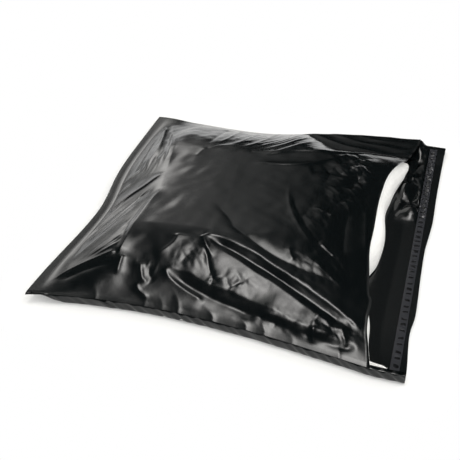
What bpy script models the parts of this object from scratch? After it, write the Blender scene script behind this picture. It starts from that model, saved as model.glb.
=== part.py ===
"""A filled poly mailer bag, lying on its back panel with its mouth and flap still open.

Run it with blender --background --python part.py, or from Blender's text editor.

X runs from the closed end to the end of the flap, Y from the near weld to the far weld, and Z is up
from the surface that the bag lies on. The origin is under the middle of the bag. Each panel of film is
a grid of points: rows run along the bag, columns across it. A point's height comes from the seams, the
filling under it and a few named folds. The film is drawn thicker than real film, so that it is a solid.
"""

import bpy
import numpy as np

# The bag, in metres
POUCH_LENGTH = 0.461        # closed end to mouth, along the side welds
FLAP_LENGTH = 0.043         # flap past the mouth
BAG_WIDTH = 0.543           # over the side welds, at the flap
CLOSED_END_TAPER = 0.033    # how much narrower the filled bag lies at its closed end
SKEW = 0.007                # how much further the mouth and the flap reach at the far side
FILM = 0.0006               # thickness of one layer
WELD_WIDTH = 0.004          # flat film outside the weld line
FOLD_WIDTH = 0.003          # flat film at the folded closed end

# How far the filling draws the edges in
NEAR_DRAW_IN = 0.0245
FAR_DRAW_IN = 0.026
CLOSED_END_DRAW_IN = 0.0165
MOUTH_DRAW_BACK = 0.037

# Heights of the film's inner faces above the surface
FRONT_HEIGHT = 0.064
NEAR_SEAM_HEIGHT = 0.017
FAR_SEAM_HEIGHT = 0.008
MOUTH_CORNER_RISE = 0.012   # how much higher the far weld lies at the mouth
FLAP_CORNER_DROP = 0.009    # how much lower the flap's far side lies than the mouth's far corner
FLAP_END_RISE = 0.006
WELD_DROOP = 0.0012         # how much lower a weld's edge hangs than its line
MOUTH_FILL = 0.62           # share of the full height that is left at the mouth edge

# How far in from each edge the front panel reaches its full height
NEAR_RUN = 0.120
NEAR_RUN_AT_MOUTH = 0.230
FAR_RUN = 0.150
CLOSED_END_RUN = 0.150
MOUTH_RUN = 0.150
FAR_FLAT = 0.060            # empty flat film beside the far weld, near the mouth

# How full the near flank is: 1 is a plane from the weld to the crown, 2 a round bulge
NEAR_FLANK = 1.35
NEAR_FLANK_AT_MOUTH = 2.0
NEAR_FLANK_AT_CLOSED_END = 1.85

# How far in from each edge the back panel comes down to the surface
FAR_WALL_RUN = 0.045
CLOSED_END_WALL_RUN = 0.050
FLAP_DROP_RUN = 0.012
NEAR_BULGE = 0.0035         # how far the back panel bulges out below the near weld line

# Adhesive and its release liner, on the flap
LINER_WIDTH = 0.012
LINER_INSET = 0.0105        # bare film between the liner and the flap's end, halfway across
LINER_THICKNESS = 0.0004
ADHESIVE_WIDTH = 0.008
ADHESIVE_THICKNESS = 0.0004
STRIP_END_GAP = 0.003       # bare film at each end of the strips

# Soft pack inside
PACK_LENGTH = 0.440
PACK_WIDTH = 0.460
PACK_CORNER = 0.060
PACK_MOUTH_CORNER = 0.160   # the near corner at the mouth is more rounded
PACK_EDGE = 0.0024          # thickness of its flat hem
PACK_ROUNDING = 0.040       # how far in from its edge it reaches full thickness
PACK_NOSE = 0.019           # how far its end shows past the mouth edge
PACK_END_INSET = 0.016      # how far behind the mouth edge its end lies elsewhere
PACK_END_ROUNDING = 0.026   # how far in from its end it reaches full thickness

# Gap between solids that touch on the real bag
SEAT = 0.0003
PACK_CLEARANCE = 0.0006
PACK_GROUND_SLACK = 0.12    # extra clearance over the turned-up back panel, as a share of its height
PACK_END_CLEARANCE = 0.004   # at the mouth, where the pack's own rows pass under the film

# Grid, in cells
ROWS = 30
COLUMNS = 33

# Rows of the pack's mouth end: shares of the way to where its rounding starts, then of its rounding
PACK_NECK_ROWS = (0.5, 1.0)
PACK_END_ROWS = (0.35, 0.65, 0.88, 1.0)

# Extra grid lines beside the edges, as distances in from the weld line
NEAR_LINES = (0.005, 0.012, 0.021, 0.033)
FAR_LINES = (0.024, 0.010)
CLOSED_END_LINES = (0.007, 0.018)

# The back panel's way down below the near weld line: shares of the bulge inward, shares of the seam's height
NEAR_WALL = ((-0.85, 0.62), (-1.0, 0.28), (-0.3, 0.04), (1.0, 0.0))

# Folds of the front panel: height, width on its left, width on its right, and the points it runs through
FOLDS = (
    (0.0060, 0.012, 0.012, ((-0.050, -0.130), (0.000, -0.138), (0.060, -0.158), (0.120, -0.193), (0.185, -0.222))),
    (-0.0055, 0.010, 0.010, ((-0.035, -0.150), (0.010, -0.160), (0.070, -0.182), (0.130, -0.216), (0.175, -0.240))),
    (0.0040, 0.016, 0.016, ((-0.080, -0.170), (-0.030, -0.180), (0.030, -0.195), (0.090, -0.225))),
    (-0.0035, 0.012, 0.016, ((-0.055, -0.060), (-0.020, -0.105), (0.030, -0.132), (0.110, -0.160))),
    (0.0035, 0.012, 0.016, ((0.050, -0.030), (0.085, -0.085), (0.125, -0.130), (0.180, -0.175))),
    (0.0040, 0.016, 0.014, ((-0.020, 0.070), (0.030, 0.078), (0.085, 0.095), (0.150, 0.150))),
    (0.0040, 0.014, 0.012, ((0.020, 0.125), (0.080, 0.135), (0.130, 0.155), (0.195, 0.185))),
    (-0.0050, 0.014, 0.014, ((-0.185, 0.190), (-0.192, 0.120), (-0.188, 0.050))),
    (0.0045, 0.014, 0.018, ((-0.150, -0.030), (-0.185, -0.070), (-0.215, -0.120), (-0.240, -0.210))),
    (-0.0045, 0.016, 0.014, ((-0.155, -0.100), (-0.180, -0.150), (-0.225, -0.225))),
    (0.0040, 0.012, 0.014, ((-0.145, -0.120), (-0.155, -0.180), (-0.215, -0.235))),
)


def ease(t):
    """0 up to t = 0, 1 from t = 1, with level ends."""
    t = np.clip(t, 0.0, 1.0)
    return t * t * (3.0 - 2.0 * t)


def shoulder(t, roundness=2.0):
    """0 at t = 0, rising steeply and levelling out at 1 from t = 1."""
    return 1.0 - (1.0 - np.clip(t, 0.0, 1.0)) ** roundness


def quarter_round(t):
    """0 at t = 0 with an upright start, 1 and level from t = 1."""
    return np.sqrt(1.0 - (1.0 - np.clip(t, 0.0, 1.0)) ** 2)


def along(x):
    """0 at the closed end, 1 at the mouth."""
    return np.clip((x + (POUCH_LENGTH + FLAP_LENGTH) / 2.0) / POUCH_LENGTH, 0.0, 1.0)


def near_edge(x):
    return -BAG_WIDTH / 2.0 + NEAR_DRAW_IN * np.sin(np.pi * along(x) ** 0.8)


def far_edge(x):
    a = along(x)
    taper = CLOSED_END_TAPER * (1.0 - a)
    spread = np.where(a < 0.43, 0.31, 0.22)
    draw_in = FAR_DRAW_IN * ease(a / 0.15) * np.exp(-(((a - 0.43) / spread) ** 2))
    return BAG_WIDTH / 2.0 - taper - draw_in


def across(x, y):
    """0 at the near edge, 1 at the far edge."""
    return (y - near_edge(x)) / (far_edge(x) - near_edge(x))


def closed_end(y):
    spread = np.where(y < -0.13 * BAG_WIDTH, 0.24, 0.157)
    bow = np.exp(-(((y / BAG_WIDTH + 0.13) / spread) ** 2))
    return -(POUCH_LENGTH + FLAP_LENGTH) / 2.0 + CLOSED_END_DRAW_IN * bow


def flat_mouth(y):
    return (POUCH_LENGTH - FLAP_LENGTH) / 2.0 + SKEW * y / BAG_WIDTH


def lifted_mouth(y):
    """The front panel's edge, drawn back where the filling lifts it."""
    near = shoulder((y / BAG_WIDTH + 0.5) / 0.53)
    far = ease((0.5 - y / BAG_WIDTH) / 0.41)
    return flat_mouth(y) - MOUTH_DRAW_BACK * near * far


def flap_end(y):
    return (POUCH_LENGTH + FLAP_LENGTH) / 2.0 + SKEW * y / BAG_WIDTH


def seam_height(x, y):
    b = np.clip(across(x, y), 0.0, 1.0)
    far = FAR_SEAM_HEIGHT + MOUTH_CORNER_RISE * along(x)
    far -= FLAP_CORNER_DROP * ease((x - flat_mouth(y)) / FLAP_DROP_RUN)
    return NEAR_SEAM_HEIGHT * (1.0 - b) + far * b


def smooth_route(points, steps=6):
    """Points on a smooth curve through the given points."""
    p = np.array(points)
    p = np.vstack((2.0 * p[0] - p[1], p, 2.0 * p[-1] - p[-2]))
    out = []
    for k in range(1, len(p) - 2):
        for t in np.arange(steps) / steps:
            out.append(
                0.5
                * (
                    2.0 * p[k]
                    + (p[k + 1] - p[k - 1]) * t
                    + (2.0 * p[k - 1] - 5.0 * p[k] + 4.0 * p[k + 1] - p[k + 2]) * t**2
                    + (3.0 * p[k] - p[k - 1] - 3.0 * p[k + 1] + p[k + 2]) * t**3
                )
            )
    out.append(p[-2])
    return np.array(out)


def fold(x, y, height, left_width, right_width, points):
    """Height of one fold: rounded across its route, fading out at both of its ends."""
    route = smooth_route(points)
    start, step = route[:-1], np.diff(route, axis=0)
    length = np.hypot(step[:, 0], step[:, 1])
    dx = x[..., None] - start[:, 0]
    dy = y[..., None] - start[:, 1]
    t = np.clip((dx * step[:, 0] + dy * step[:, 1]) / length**2, 0.0, 1.0)
    ox = dx - t * step[:, 0]
    oy = dy - t * step[:, 1]
    distance = np.hypot(ox, oy)
    k = np.argmin(distance, axis=-1)[..., None]
    d = np.take_along_axis(distance, k, -1)[..., 0]
    side = np.take_along_axis(step[:, 0] * oy - step[:, 1] * ox, k, -1)[..., 0]
    reach = np.take_along_axis((np.cumsum(length) - length) + t * length, k, -1)[..., 0] / length.sum()
    width = np.where(side > 0.0, left_width, right_width)
    ends = ease(reach / 0.2) * ease((1.0 - reach) / 0.2)
    return height * ends * np.exp(-((d / width) ** 2))


def filling(x, y):
    """Share of the full height, from 0 at the welds to 1 on top."""
    a = along(x)
    near_run = NEAR_RUN + (NEAR_RUN_AT_MOUTH - NEAR_RUN) * ease((a - 0.45) / 0.55)
    flat = FAR_FLAT * ease((a - 0.45) / 0.4)
    flank = NEAR_FLANK + (NEAR_FLANK_AT_MOUTH - NEAR_FLANK) * ease((a - 0.55) / 0.35)
    flank = flank + (NEAR_FLANK_AT_CLOSED_END - NEAR_FLANK) * ease((0.3 - a) / 0.2)
    near = shoulder((y - near_edge(x) - WELD_WIDTH) / near_run, flank)
    far = shoulder((far_edge(x) - WELD_WIDTH - flat - y) / FAR_RUN)
    closed = shoulder((x - closed_end(y) - FOLD_WIDTH) / CLOSED_END_RUN)
    mouth = MOUTH_FILL + (1.0 - MOUTH_FILL) * shoulder((lifted_mouth(y) - x) / MOUTH_RUN)
    return near * far * closed * mouth


def front_height(x, y):
    """Inner face of the front panel."""
    seam = seam_height(x, y)
    fill = filling(x, y)
    folds = sum(fold(x, y, *f) for f in FOLDS)
    return seam + (FRONT_HEIGHT - seam) * fill + folds * ease(fill / 0.25)


def back_height(x, y, near=0.0):
    """Inner face of the back panel and the flap: on the surface, and turned up to the seams.

    near is the share of the seam's height that the near wall has at this point.
    """
    far = 1.0 - ease((far_edge(x) - WELD_WIDTH - y) / FAR_WALL_RUN)
    closed = 1.0 - ease((x - closed_end(y) - FOLD_WIDTH) / CLOSED_END_WALL_RUN)
    turned_up = 1.0 - (1.0 - near) * (1.0 - far) * (1.0 - closed)
    flap_rise = FLAP_END_RISE * ease((x - flat_mouth(y)) / FLAP_LENGTH) * ease(across(x, y) / 0.2)
    return FILM + (seam_height(x, y) - FILM) * turned_up + flap_rise * (1.0 - turned_up)


def panel_plan(rows, mouth_edge, near_lines):
    """X and Y of every grid point of one panel. near_lines are distances in from the near weld line."""
    middle = COLUMNS - len(near_lines) - len(FAR_LINES) - 3
    xs, ys = [], []
    for kind, value in rows:
        x_guess = row_x(kind, value, np.zeros(1), flat_mouth)[0]
        low = near_edge(x_guess) + WELD_WIDTH
        high = far_edge(x_guess) - WELD_WIDTH
        near = [low - WELD_WIDTH, low] + [low + d for d in near_lines]
        far = [high - d for d in FAR_LINES] + [high, high + WELD_WIDTH]
        start = low + NEAR_LINES[-1]
        between = start + (far[0] - start) * np.arange(1, middle + 1) / (middle + 1)
        y = np.concatenate((near, between, far))
        ys.append(y)
        xs.append(row_x(kind, value, y, mouth_edge))
    return np.array(xs), np.array(ys)


def row_x(kind, value, y, mouth_edge):
    """X of one row at each Y: beside the closed end, in the pouch, or on the flap."""
    fold_line = closed_end(y) + FOLD_WIDTH
    strip_line = flap_end(0.0) - LINER_INSET + 0.0 * y
    if kind == "from closed end":
        return fold_line + value
    if kind == "past mouth":
        return flat_mouth(y) + value * (strip_line - LINER_WIDTH - flat_mouth(y))
    if kind == "from strip line":
        return strip_line - value
    if kind == "flap end":
        return flap_end(y) - value
    start = fold_line + CLOSED_END_LINES[-1]
    return start + value * (mouth_edge(y) - start)


def pouch_rows():
    rows = [("from closed end", -FOLD_WIDTH), ("from closed end", 0.0)]
    rows += [("from closed end", d) for d in CLOSED_END_LINES]
    rest = ROWS - len(rows) + 1
    rows += [("pouch", k / rest) for k in range(1, rest + 1)]
    return rows


def flap_rows():
    """Rows past the mouth, with one at each edge of the adhesive and of its liner."""
    side = (LINER_WIDTH - ADHESIVE_WIDTH) / 2.0
    return [
        ("past mouth", 0.5),
        ("from strip line", LINER_WIDTH),
        ("from strip line", LINER_WIDTH - side),
        ("from strip line", side),
        ("from strip line", 0.0),
        ("flap end", 0.0),
    ]


def normals(points):
    """Upward unit normal at each grid point."""
    du = np.gradient(points, axis=0)
    dv = np.gradient(points, axis=1)
    n = np.cross(du, dv)
    return n / np.linalg.norm(n, axis=-1, keepdims=True)


def hang_edges(points):
    """Puts the weld and fold margins in line with the seam, a little lower at their edge."""
    for edge, line in ((0, 1), (-1, -2)):
        points[:, edge, 2] = points[:, line, 2] - WELD_DROOP
    points[0, :, 2] = points[1, :, 2]


def film_surfaces():
    """Inner and outer faces of both panels, as arrays of points."""
    pouch = pouch_rows()
    x, y = panel_plan(pouch, lifted_mouth, NEAR_LINES)
    front = np.stack((x, y, front_height(x, y)), axis=-1)
    x, y = panel_plan(pouch + flap_rows(), flat_mouth, [NEAR_BULGE * inward for inward, _ in NEAR_WALL])
    wall = np.zeros(COLUMNS + 1)
    wall[: 2 + len(NEAR_WALL)] = [1.0, 1.0] + [share for _, share in NEAR_WALL]
    back = np.stack((x, y, back_height(x, y, wall)), axis=-1)
    last = len(pouch) - 1
    hang_edges(back)
    # The two panels are one at the welds and at the folded end
    front[:, :2] = back[: last + 1, :2]
    front[:, -2:] = back[: last + 1, -2:]
    front[:2] = back[:2]
    return front, back, front + FILM * normals(front), back - FILM * normals(back)


def centred(surfaces):
    """Moves all surfaces so that the origin is under the middle of the bag."""
    everything = np.concatenate([s.reshape(-1, 3) for s in surfaces])
    low, high = everything.min(axis=0), everything.max(axis=0)
    shift = np.array(((low[0] + high[0]) / 2.0, (low[1] + high[1]) / 2.0, low[2]))
    return [s - shift for s in surfaces]


class MeshParts:
    """Collects points and triangles, then makes one closed object of them."""

    def __init__(self):
        self.points = []
        self.faces = []

    def grid(self, points):
        """Adds points and returns their numbers in the same layout."""
        start = len(self.points)
        self.points += [tuple(p) for p in points.reshape(-1, 3)]
        return start + np.arange(points.shape[0] * points.shape[1]).reshape(points.shape[:2])

    def skin(self, ids, rising, flip=False):
        """Two triangles for each cell. rising says which diagonal splits it."""
        for i in range(ids.shape[0] - 1):
            for j in range(ids.shape[1] - 1):
                a, b, c, d = ids[i, j], ids[i + 1, j], ids[i + 1, j + 1], ids[i, j + 1]
                pair = ((a, b, c), (a, c, d)) if rising[i, j] else ((a, b, d), (b, c, d))
                self.faces += [t[::-1] if flip else t for t in pair]

    def strip(self, upper, lower):
        """A wall between two rows of points, facing right of their direction when upper is on top."""
        for k in range(len(upper) - 1):
            a, b, c, d = upper[k], lower[k], lower[k + 1], upper[k + 1]
            self.faces += [(a, b, c), (a, c, d)]

    def build(self, name, material, smooth_angle):
        mesh = bpy.data.meshes.new(name)
        mesh.from_pydata(self.points, [], [tuple(int(v) for v in f) for f in self.faces])
        mesh.validate()
        mesh.materials.append(material)
        mesh.shade_smooth()
        mesh.set_sharp_from_angle(angle=smooth_angle)
        thing = bpy.data.objects.new(name, mesh)
        bpy.context.scene.collection.objects.link(thing)
        return thing


def material(name, colour, roughness):
    made = bpy.data.materials.new(name)
    made.use_nodes = True
    surface = made.node_tree.nodes["Principled BSDF"]
    surface.inputs["Base Color"].default_value = (*colour, 1.0)
    surface.inputs["Roughness"].default_value = roughness
    surface.inputs["Metallic"].default_value = 0.0
    return made


def diagonals(points):
    """For each cell, True where its points (i, j) and (i+1, j+1) are the closer pair in height."""
    z = points[..., 2]
    return np.abs(z[:-1, :-1] - z[1:, 1:]) <= np.abs(z[1:, :-1] - z[:-1, 1:])


def make_film(front, back, front_outer, back_outer):
    """One closed skin: outside, inside of the pouch, mouth edge, weld edges and flap."""
    last = front.shape[0] - 1
    parts = MeshParts()
    over = parts.grid(front_outer)
    inner_back = parts.grid(back)
    under = parts.grid(back_outer)
    inner_front = parts.grid(front)
    # Inside, the panels share the points of the weld lines and of the fold line
    inner_front[:2] = inner_back[:2]
    inner_front[:, :2] = inner_back[: last + 1, :2]
    inner_front[:, -2:] = inner_back[: last + 1, -2:]
    front_split, back_split = diagonals(front), diagonals(back)
    # A corner cell of the pouch has three shared points, so its diagonal runs to the fourth
    for split in (front_split, back_split):
        split[1, 1], split[1, -2] = True, False
    parts.skin(over, front_split)
    parts.skin(inner_front[1:, 1:-1], front_split[1:, 1:-1], flip=True)
    parts.skin(inner_back[1 : last + 1, 1:-1], back_split[1:last, 1:-1])
    parts.skin(inner_back[last:], back_split[last:])
    parts.skin(under, back_split, flip=True)
    # Edges: mouth, its two weld ends, closed end, flap end and the two long sides
    parts.strip(over[last, 1:-1], inner_front[last, 1:-1])
    parts.strip(over[last, :2], inner_back[last, :2])
    parts.strip(over[last, -2:], inner_back[last, -2:])
    parts.strip(over[0][::-1], under[0][::-1])
    parts.strip(inner_back[-1], under[-1])
    for column, turn in ((0, 1), (-1, -1)):
        parts.strip(over[:last, column][::turn], under[:last, column][::turn])
        parts.strip(inner_back[last:, column][::turn], under[last:, column][::turn])
        # The side's last cell before the mouth steps down from two layers of film to one
        a, b = over[last - 1, column], under[last - 1, column]
        c, d, e = under[last, column], inner_back[last, column], over[last, column]
        parts.faces += [t[::turn] for t in ((a, b, c), (a, c, d), (a, d, e))]
    return parts


def flap_strip(back, first_row, last_row, lift, thickness):
    """A flat strip that lies across the flap between two of its rows, its under face at height lift."""
    band = back[first_row : last_row + 1, :]
    up = normals(back)[first_row : last_row + 1, :]
    inside = (band[0, :, 1] > band[0, 1, 1] + STRIP_END_GAP) & (band[0, :, 1] < band[0, -2, 1] - STRIP_END_GAP)
    chosen = slice(int(np.flatnonzero(inside)[0]), int(np.flatnonzero(inside)[-1]) + 1)
    low = (band + lift * up)[:, chosen]
    high = (band + (lift + thickness) * up)[:, chosen]
    parts = MeshParts()
    top, bottom = parts.grid(high), parts.grid(low)
    split = diagonals(back)[first_row:last_row, chosen][:, :-1]
    parts.skin(top, split)
    parts.skin(bottom, split, flip=True)
    rim(parts, top, bottom)
    return parts


def rim(parts, top, bottom):
    """Closes the four sides between two grids."""
    parts.strip(top[0][::-1], bottom[0][::-1])
    parts.strip(top[-1], bottom[-1])
    parts.strip(top[:, 0], bottom[:, 0])
    parts.strip(top[:, -1][::-1], bottom[:, -1][::-1])


def pack_end(y):
    """Where the pack's end lies: past the mouth edge in the middle, behind it elsewhere."""
    middle = np.exp(-(((y - 0.045 * BAG_WIDTH) / (0.215 * BAG_WIDTH)) ** 4))
    return lifted_mouth(y) + (PACK_NOSE + PACK_END_INSET) * middle - PACK_END_INSET


def pack_fullness(x, y):
    """0 on the pack's flat hem, 1 where it fills the bag. Its mouth end is rounded by its end rows instead."""
    centre_x = lifted_mouth(0.0) + PACK_NOSE + PACK_ROUNDING - PACK_LENGTH / 2.0
    px, py = x - centre_x, y
    corner = np.where((px > 0.0) & (py < 0.0), PACK_MOUTH_CORNER, PACK_CORNER)
    qx = np.abs(px) - PACK_LENGTH / 2.0 + corner
    qy = np.abs(py) - PACK_WIDTH / 2.0 + corner
    outside = np.hypot(np.maximum(qx, 0.0), np.maximum(qy, 0.0)) + np.minimum(np.maximum(qx, qy), 0.0) - corner
    return quarter_round(-outside / PACK_ROUNDING)


def pack_end_rows(start, y):
    """X of the pack's last rows and how full each is, from its last row on the film's grid to its end."""
    end = pack_end(y)
    round_start = end - PACK_END_ROUNDING
    rows = [(start + share * (round_start - start), 1.0) for share in PACK_NECK_ROWS]
    rows += [(round_start + share * (end - round_start), quarter_round(1.0 - share)) for share in PACK_END_ROWS]
    return rows


def make_pack(front):
    """Fills the pouch up to a small clearance. Its last rows leave the film's grid and end past the mouth."""
    shared = front.shape[0] - 4
    rows, columns = slice(3, shared), slice(3, front.shape[1] - 3)
    ceiling = (front - PACK_CLEARANCE * normals(front))[rows, columns]
    y = ceiling[-1, :, 1]
    end_rows = pack_end_rows(ceiling[-1, :, 0], y)
    roofs = [front_height(np.minimum(x, lifted_mouth(y)), y) - PACK_END_CLEARANCE for x, _ in end_rows]
    top = np.concatenate((ceiling, [np.stack((x, y, z), -1) for (x, _), z in zip(end_rows, roofs)]))
    fade = np.array([1.0] * len(ceiling) + [share for _, share in end_rows])[:, None]
    bottom = top.copy()
    ground = back_height(top[..., 0], top[..., 1])
    bottom[..., 2] = ground + PACK_CLEARANCE + PACK_GROUND_SLACK * (ground - FILM)
    fullness = pack_fullness(top[..., 0], top[..., 1]) * fade
    room = np.maximum(top[..., 2] - bottom[..., 2] - PACK_EDGE, 0.0)
    bottom[..., 2] += 0.25 * room * fullness * (1.0 - fullness)
    top[..., 2] = np.minimum(top[..., 2], bottom[..., 2] + PACK_EDGE + room * fullness)
    parts = MeshParts()
    upper, lower = parts.grid(top), parts.grid(bottom)
    split = diagonals(front)[rows, columns][:-1, :-1]
    split = np.concatenate((split, np.ones((len(end_rows), split.shape[1]), dtype=bool)))
    parts.skin(upper, split)
    parts.skin(lower, np.ones_like(split), flip=True)
    rim(parts, upper, lower)
    return parts


def main():
    for thing in list(bpy.data.objects):
        bpy.data.objects.remove(thing, do_unlink=True)
    front, back, front_outer, back_outer = film_surfaces()
    strip_rows = front.shape[0] + 1
    adhesive = flap_strip(back, strip_rows + 1, strip_rows + 2, SEAT, ADHESIVE_THICKNESS)
    liner = flap_strip(back, strip_rows, strip_rows + 3, 2.0 * SEAT + ADHESIVE_THICKNESS, LINER_THICKNESS)
    film = make_film(front, back, front_outer, back_outer)
    pack = make_pack(front)
    pieces = (
        (film, "mailer_film", material("black_film", (0.006, 0.006, 0.007), 0.28)),
        (adhesive, "adhesive_strip", material("hot_melt", (0.10, 0.10, 0.09), 0.45)),
        (liner, "release_liner", material("liner_film", (0.05, 0.05, 0.052), 0.35)),
        (pack, "soft_pack", material("white_pack", (0.80, 0.80, 0.78), 0.60)),
    )
    clouds = centred([np.array(film.points)] + [np.array(p[0].points) for p in pieces[1:]])
    for (parts, name, finish), points in zip(pieces, clouds):
        parts.points = [tuple(p) for p in points]
        parts.build(name, finish, np.radians(40.0))


main()
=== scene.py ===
"""A filled poly mailer bag, lying on its back panel with its mouth and flap still open."""

import bpy
import numpy as np
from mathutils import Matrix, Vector


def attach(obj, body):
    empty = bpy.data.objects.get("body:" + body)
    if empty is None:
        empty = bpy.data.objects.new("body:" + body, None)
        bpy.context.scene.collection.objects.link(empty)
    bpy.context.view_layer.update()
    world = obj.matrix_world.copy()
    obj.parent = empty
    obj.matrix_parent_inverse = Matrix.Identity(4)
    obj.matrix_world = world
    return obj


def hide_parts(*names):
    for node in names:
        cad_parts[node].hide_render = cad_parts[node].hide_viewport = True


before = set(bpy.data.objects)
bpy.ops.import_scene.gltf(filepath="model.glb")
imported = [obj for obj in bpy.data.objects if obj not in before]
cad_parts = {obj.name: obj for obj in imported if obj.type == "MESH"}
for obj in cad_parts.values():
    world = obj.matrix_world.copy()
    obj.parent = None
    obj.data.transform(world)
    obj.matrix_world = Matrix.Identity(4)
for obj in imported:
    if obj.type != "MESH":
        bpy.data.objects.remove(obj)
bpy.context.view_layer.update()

# Front panel of the mailer film.
# Blown polyethylene film, one tube slit and welded along both long edges. What is packed pushes it up,
# and it is pulled into folds that run from the crown to the corners and the welds.

# Lengths are in metres, except where a comment names another unit
CM = 0.01
MM = 0.001

POUCH_LENGTH = 0.461
FLAP_LENGTH = 0.043
BAG_WIDTH = 0.543
WELD_WIDTH = 0.004
FOLD_WIDTH = 0.003
WELD_DROOP = 0.0020
CENTRE_SHIFT = 0.00175      # the solids have their origin under the middle of the bag
CROWN_HEIGHT = 0.0645

# How far the filling draws each edge in. The far weld also runs inwards towards the closed end.
NEAR_DRAW_IN = 0.0245
FAR_DRAW_IN = 0.026
FAR_TAPER = 0.033
CLOSED_END_DRAW_IN = 0.0165
MOUTH_SKEW = 0.007

# The near weld is held up all along. The far one rises towards the mouth and comes down again at the flap.
NEAR_SEAM_HEIGHT = 0.0176
FAR_SEAM_HEIGHT = 0.008
FAR_SEAM_RISE = 0.012
FAR_SEAM_DROP = 0.009

# The mouth edge that the filling lifts: Y and X in centimetres, near weld to far weld
LIP_LINE = (
    (-27.2, 20.6), (-26.0, 20.3), (-23.9, 19.8), (-22.3, 19.4), (-20.1, 19.2), (-17.7, 19.2),
    (-16.6, 18.7), (-13.4, 18.2), (-8.6, 17.5), (-4.1, 17.4), (0.7, 17.2), (4.8, 17.2), (9.9, 17.6),
    (14.8, 19.0), (16.5, 19.7), (18.5, 20.0), (21.3, 20.3), (24.7, 21.1), (27.2, 21.2),
)


def ease(t):
    """0 up to t = 0, 1 from t = 1, with level ends."""
    t = np.clip(t, 0.0, 1.0)
    return t * t * (3.0 - 2.0 * t)


def shoulder(t, power=2.0):
    """0 at t = 0, levelling out at 1 from t = 1."""
    return 1.0 - (1.0 - np.clip(t, 0.0, 1.0)) ** power


def smooth_route(points, steps=8):
    """Points on a smooth curve through the given points."""
    p = np.array(points, dtype=float)
    p = np.vstack((2.0 * p[0] - p[1], p, 2.0 * p[-1] - p[-2]))
    t = (np.arange(steps) / steps)[:, None]
    out = []
    for k in range(1, len(p) - 2):
        bend = 2.0 * p[k - 1] - 5.0 * p[k] + 4.0 * p[k + 1] - p[k + 2]
        twist = 3.0 * p[k] - p[k - 1] - 3.0 * p[k + 1] + p[k + 2]
        out.append(0.5 * (2.0 * p[k] + (p[k + 1] - p[k - 1]) * t + bend * t**2 + twist * t**3))
    out.append(p[-2:-1])
    return np.vstack(out)


def edge_line(points):
    """A function that gives X at any Y on a smooth line through points in centimetres."""
    route = smooth_route(points) * CM
    return lambda y: np.interp(y, route[:, 0], route[:, 1])


def along(x):
    """0 at the closed end, 1 at the mouth."""
    return np.clip((x + (POUCH_LENGTH + FLAP_LENGTH) / 2.0) / POUCH_LENGTH, 0.0, 1.0)


def near_edge(x):
    """Y of the near edge."""
    return -BAG_WIDTH / 2.0 + NEAR_DRAW_IN * np.sin(np.pi * along(x) ** 0.8)


def far_edge(x):
    """Y of the far edge. It is drawn in most at 0.43 of its length."""
    a = along(x)
    spread = np.where(a < 0.43, 0.31, 0.22)
    taper = FAR_TAPER * (1.0 - a)
    return BAG_WIDTH / 2.0 - taper - FAR_DRAW_IN * ease(a / 0.15) * np.exp(-(((a - 0.43) / spread) ** 2))


def across(x, y):
    """0 at the near edge, 1 at the far edge."""
    return np.clip((y - near_edge(x)) / (far_edge(x) - near_edge(x)), 0.0, 1.0)


def closed_end(y):
    """X of the folded end. It is drawn in most a little towards the near weld."""
    spread = np.where(y < -0.13 * BAG_WIDTH, 0.24, 0.157)
    pull = np.exp(-(((y / BAG_WIDTH + 0.13) / spread) ** 2))
    return -(POUCH_LENGTH + FLAP_LENGTH) / 2.0 + CLOSED_END_DRAW_IN * pull


def flat_mouth(y):
    """X of the mouth as the bag was cut."""
    return (POUCH_LENGTH - FLAP_LENGTH) / 2.0 + MOUTH_SKEW * y / BAG_WIDTH


lip = edge_line(LIP_LINE)


def seam_height(x, y):
    """Height of a flat sheet between the two welds."""
    b = across(x, y)
    far = FAR_SEAM_HEIGHT + FAR_SEAM_RISE * along(x) - FAR_SEAM_DROP * ease((x - flat_mouth(y)) / 0.012)
    return NEAR_SEAM_HEIGHT * (1.0 - b) + far * b


# How the front panel rises from the folded end: distance in centimetres and height in millimetres
CLOSED_END_RISE = (
    (0.0, 0.0), (0.9, -0.1), (1.5, 1.6), (3.0, 10.6), (5.5, 25.0), (7.5, 35.6), (8.6, 40.0), (9.6, 42.2),
    (12.0, 45.2), (14.0, 47.2), (17.0, 49.0), (20.0, 50.0),
)
RISE_ROUTE = smooth_route(CLOSED_END_RISE)


def closed_end_rise(distance):
    """Share of the full height at a distance from the folded end."""
    return np.interp(distance, RISE_ROUTE[:, 0] * CM, RISE_ROUTE[:, 1] / RISE_ROUTE[-1, 1])


def filling(x, y):
    """Share of the full height, from 0 at the welds to 1 on top."""
    a = along(x)
    # The near flank is steep beside the closed end, and long and gentle at the mouth
    near_run = 0.118 + 0.112 * ease((a - 0.5) / 0.5)
    power = 1.35 + 0.65 * ease((a - 0.55) / 0.35) + 0.5 * ease((0.3 - a) / 0.2)
    near = shoulder((y - near_edge(x) - WELD_WIDTH) / near_run, power)
    # An empty margin lies flat beside the far weld, from the middle of the bag to the mouth
    flat = 0.062 * ease((a - 0.57) / 0.17)
    far_run = 0.150 - 0.065 * ease((a - 0.50) / 0.24)
    far = shoulder((far_edge(x) - WELD_WIDTH - flat - y) / far_run, 1.5)
    # The top slopes down to the folded end, and part of the way down at the mouth
    closed = closed_end_rise(x - closed_end(y) - FOLD_WIDTH)
    mouth = 0.62 + 0.38 * shoulder((lip(y) - x) / 0.150)
    return near * far * closed * mouth


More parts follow.
